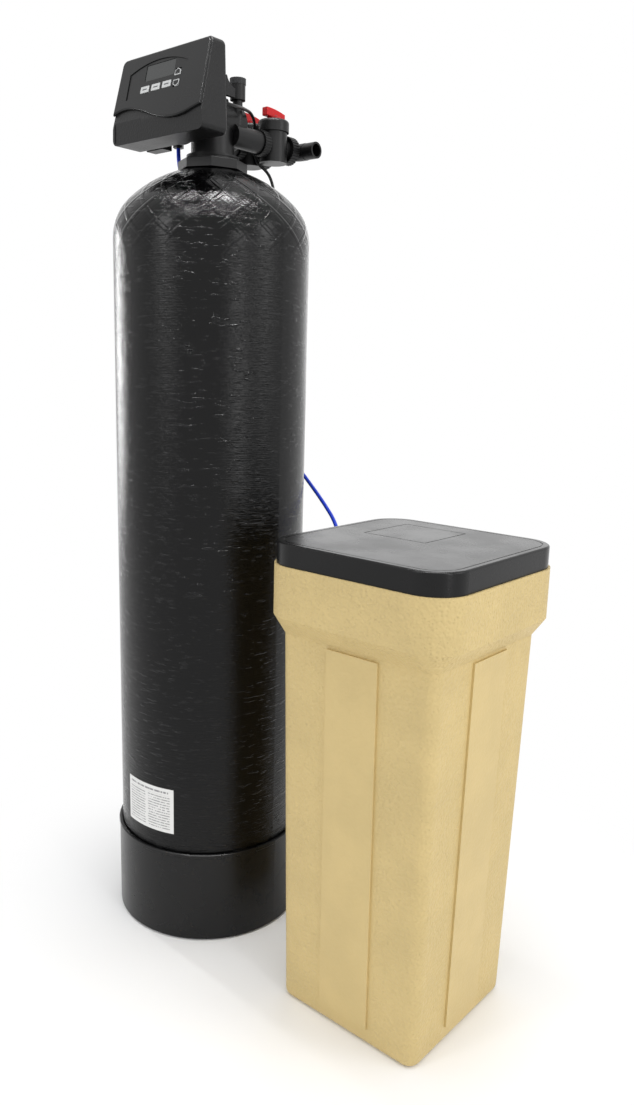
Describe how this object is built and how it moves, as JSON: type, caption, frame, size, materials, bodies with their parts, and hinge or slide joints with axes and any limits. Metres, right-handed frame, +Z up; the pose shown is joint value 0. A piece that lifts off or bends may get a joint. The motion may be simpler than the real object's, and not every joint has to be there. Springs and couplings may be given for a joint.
{
  "type": "water softener",
  "caption": "Tall black mineral tank with a slanted control head, rear bypass with red handles, and a tan square brine tank joined by a blue tube.",
  "frame": {"origin": "on the floor at the mineral tank's axis, in the underside of its boot", "axes": "+Z up; -Y is the front that the control panel faces; +X towards the brine tank"},
  "size_m": [0.7479, 0.3635, 1.374],
  "materials": {
    "tank_shell": "gloss, wound glass-fibre shell",
    "boot_black": "satin",
    "label_white": "printed film",
    "valve_black": "moulded satin",
    "head_black": "fine grain",
    "panel_grey": "satin",
    "lens_dark": "clear",
    "key_white": "satin",
    "board_green": "satin",
    "gear_white": "satin",
    "motor_steel": "brushed",
    "screw_steel": "brushed",
    "stack_grey": "satin",
    "seal_rubber": "matt",
    "cap_grey": "satin",
    "handle_red": "gloss",
    "pipe_white": "satin",
    "riser_white": "satin",
    "resin_amber": "beads",
    "gravel_grey": "stones",
    "tub_tan": "fine pebbled grain",
    "lid_black": "satin grain",
    "well_white": "satin",
    "line_blue": "satin",
    "lead_black": "satin"
  },
  "bodies": {
    "softener": {"resin_tank": "tank_shell", "tank_boot": "boot_black", "tank_label": "label_white", "neck_adapter": "valve_black", "distributor_tube": "riser_white", "top_basket": "riser_white", "resin_bed": "resin_amber", "gravel_bed": "gravel_grey", "valve_body": "valve_black", "neck_seal": "seal_rubber", "spacer_stack": "stack_grey", "drive_cap": "valve_black", "drive_motor": "motor_steel", "drive_bracket": "valve_black", "circuit_board": "board_green", "back_housing": "head_black", "housing_screws": "screw_steel", "injector": "stack_grey", "injector_cap": "cap_grey", "drain_elbow": "valve_black", "brine_elbow": "valve_black", "brine_nut": "valve_black", "bypass_nuts": "valve_black", "bypass_body": "valve_black", "bypass_seals": "seal_rubber", "rotor_caps": "valve_black", "elbow_nuts": "valve_black", "pipe_elbows": "pipe_white", "lead_gland": "valve_black", "brine_tank": "tub_tan", "brine_well": "well_white", "float_valve": "well_white", "salt_grid": "well_white", "wall_fitting": "valve_black", "overflow_elbow": "valve_black", "brine_line": "line_blue", "power_lead": "lead_black", "lead_coil": "lead_black", "coil_tie": "lead_black", "power_adapter": "lead_black"},
    "lid": {"tank_lid": "lid_black"},
    "cover": {"front_cover": "panel_grey", "display_lens": "lens_dark"},
    "key_left": {"button_left": "key_white"},
    "key_middle": {"button_middle": "key_white"},
    "key_right": {"button_right": "key_white"},
    "key_up": {"button_up": "key_white"},
    "key_down": {"button_down": "key_white"},
    "near_valve": {"rotor_near": "stack_grey", "handle_near": "handle_red"},
    "far_valve": {"rotor_far": "stack_grey", "handle_far": "handle_red"},
    "piston": {"main_piston": "gear_white"},
    "main_wheel": {"main_gear": "gear_white"},
    "reduction": {"reduction_gear": "gear_white"},
    "pinion": {"motor_pinion": "gear_white"},
    "turbine": {"meter_turbine": "gear_white"},
    "float": {"safety_float": "well_white"},
    "well_lid": {"well_cap": "well_white"}
  },
  "joints": [
    {"name": "lid_lift", "type": "slide", "parent": "softener", "child": "lid", "axis": [0, 0, 1], "range_m": [0, 0.06]},
    {"name": "cover_pull", "type": "slide", "parent": "softener", "child": "cover", "axis": [0, -1, 0], "range_m": [0, 0.04]},
    {"name": "key_left_press", "type": "slide", "parent": "cover", "child": "key_left", "axis": [0, 0.9681, -0.2504], "range_m": [0, 0.0008], "stiffness_N_per_m": 500, "springref_m": -0.0005},
    {"name": "key_middle_press", "type": "slide", "parent": "cover", "child": "key_middle", "axis": [0, 0.9681, -0.2504], "range_m": [0, 0.0008], "stiffness_N_per_m": 500, "springref_m": -0.0005},
    {"name": "key_right_press", "type": "slide", "parent": "cover", "child": "key_right", "axis": [0, 0.9681, -0.2504], "range_m": [0, 0.0008], "stiffness_N_per_m": 500, "springref_m": -0.0005},
    {"name": "key_up_press", "type": "slide", "parent": "cover", "child": "key_up", "axis": [0, 0.9681, -0.2504], "range_m": [0, 0.0008], "stiffness_N_per_m": 500, "springref_m": -0.0005},
    {"name": "key_down_press", "type": "slide", "parent": "cover", "child": "key_down", "axis": [0, 0.9681, -0.2504], "range_m": [0, 0.0008], "stiffness_N_per_m": 500, "springref_m": -0.0005},
    {"name": "near_valve_turn", "type": "hinge", "parent": "softener", "child": "near_valve", "pos_m": [0.027, 0.106, 1.274], "axis": [0, 0, 1], "range_deg": [0, 90]},
    {"name": "far_valve_turn", "type": "hinge", "parent": "softener", "child": "far_valve", "pos_m": [-0.027, 0.106, 1.274], "axis": [0, 0, 1], "range_deg": [0, 90]},
    {"name": "main_wheel_turn", "type": "hinge", "parent": "softener", "child": "main_wheel", "pos_m": [0, -0.069, 1.292], "axis": [0, 1, 0], "range_deg": [0, 720]},
    {"name": "piston_stroke", "type": "slide", "parent": "softener", "child": "piston", "axis": [0, 1, 0], "range_m": [0, 0.02601]},
    {"name": "reduction_turn", "type": "hinge", "parent": "softener", "child": "reduction", "pos_m": [0.03524, -0.0725, 1.27917], "axis": [0, 1, 0], "range_deg": [-2880.5, 0]},
    {"name": "pinion_turn", "type": "hinge", "parent": "softener", "child": "pinion", "pos_m": [0.06274, -0.0765, 1.27917], "axis": [0, 1, 0], "range_deg": [0, 7680.5]},
    {"name": "turbine_spin", "type": "hinge", "parent": "softener", "child": "turbine", "pos_m": [0.027, 0.0505, 1.274], "axis": [0, 1, 0], "continuous": true},
    {"name": "float_rise", "type": "slide", "parent": "softener", "child": "float", "axis": [0, 0, 1], "range_m": [0, 0.06]},
    {"name": "well_lid_lift", "type": "slide", "parent": "softener", "child": "well_lid", "axis": [0, 0, 1], "range_m": [0, 0.014]}
  ],
  "couplings": [
    {"joint": "piston_stroke", "follows": "main_wheel_turn", "m_per_rad": 0.002069},
    {"joint": "reduction_turn", "follows": "main_wheel_turn", "ratio": -4},
    {"joint": "pinion_turn", "follows": "main_wheel_turn", "ratio": 10.667}
  ]
}
